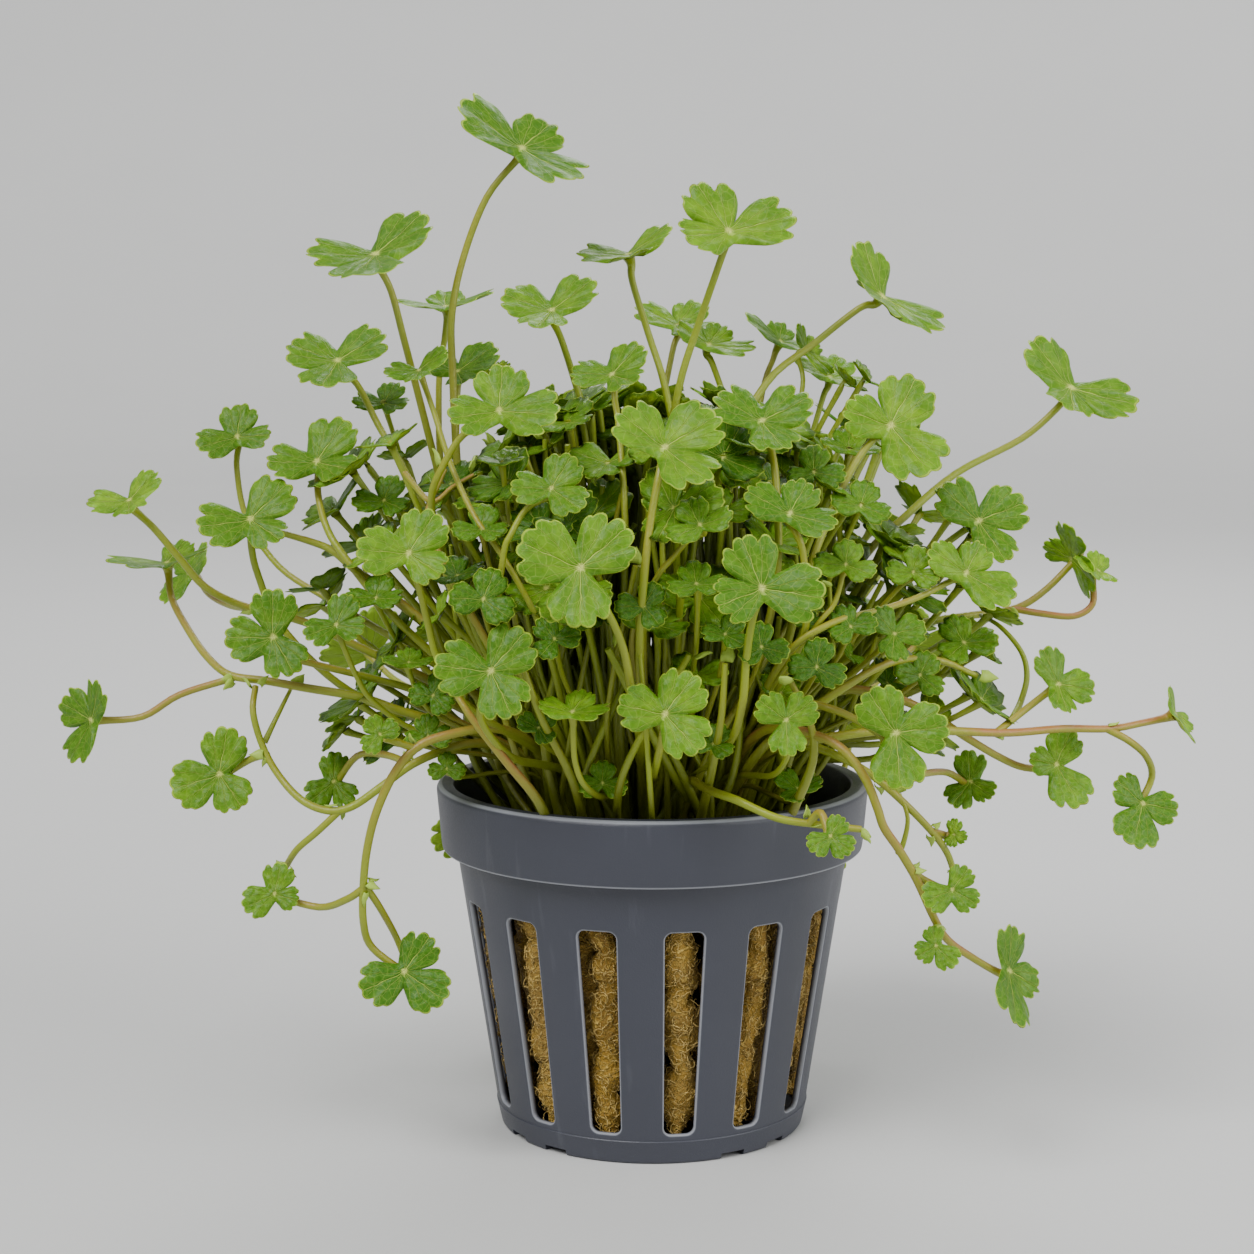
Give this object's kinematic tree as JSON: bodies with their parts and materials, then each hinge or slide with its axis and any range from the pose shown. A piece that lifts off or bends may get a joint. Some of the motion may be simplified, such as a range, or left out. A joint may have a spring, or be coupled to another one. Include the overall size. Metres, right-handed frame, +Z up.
{
  "type": "potted hydrocotyle tripartita",
  "caption": "Trailing aquarium plant with three-lobed scalloped leaves, rooted in a wool plug inside a slotted, tapered net pot with a deep collar.",
  "frame": {"origin": "centre of the pot's flat foot, on the surface it stands on", "axes": "+Z up along the pot's axis; +X along the plant's widest spread; -Y is the fullest side of the plant"},
  "size_m": [0.1358, 0.0957, 0.1252],
  "materials": {
    "pot_plastic": "satin blue-grey moulded plastic",
    "mineral_wool": "golden-brown packed mineral wool",
    "leaf": "fresh green leaf with a pale edge and veins",
    "stem": "yellow-green to reddish-brown fresh stem"
  },
  "bodies": {
    "root": {"net_pot": "pot_plastic", "wool_plug": "mineral_wool", "stem_thicket": "stem", "leaf_tall": "leaf", "leaf_top_left": "leaf", "leaf_top_middle": "leaf", "leaf_top_right": "leaf", "leaf_right_high": "leaf", "leaf_far_right_high": "leaf", "leaf_back_middle": "leaf", "leaf_left_high": "leaf", "leaf_left_inner": "leaf", "leaf_back_left_low": "leaf", "leaf_back_left": "leaf", "leaf_middle_high": "leaf", "leaf_back_high": "leaf", "leaf_back_right": "leaf", "leaf_right_back": "leaf", "leaf_young_right": "leaf", "leaf_right_behind": "leaf", "leaf_upper_left": "leaf", "leaf_upper_middle": "leaf", "leaf_upper_right": "leaf", "leaf_right_upper": "leaf", "leaf_left_upper": "leaf", "leaf_left_outer": "leaf", "leaf_left_middle": "leaf", "leaf_front_left": "leaf", "leaf_front_middle": "leaf", "leaf_front_right": "leaf", "leaf_inner_upper": "leaf", "leaf_inner_right": "leaf", "leaf_low_left": "leaf", "leaf_low_middle": "leaf", "leaf_low_right": "leaf", "leaf_low_right_small": "leaf", "leaf_low_edge_on": "leaf", "leaf_right_outer": "leaf", "leaf_right_front": "leaf", "leaf_left_lower": "leaf", "leaf_rear_top": "leaf", "leaf_rear_left": "leaf", "leaf_rear_right": "leaf", "leaf_rear_middle": "leaf", "leaf_rear_side": "leaf", "leaf_rear_low": "leaf", "leaf_left_small": "leaf", "shoot_left": "stem", "shoot_left_high": "stem", "shoot_lower_left": "stem", "shoot_hanging_left": "stem", "shoot_right": "stem", "shoot_right_high": "stem", "shoot_hanging_right": "stem", "shoot_rim_right": "stem", "shoot_right_low": "stem", "shoot_rear_left": "stem", "shoot_rear_right": "stem", "shoot_rear_hanging": "stem", "shoot_right_side": "stem"}
  },
  "joints": []
}
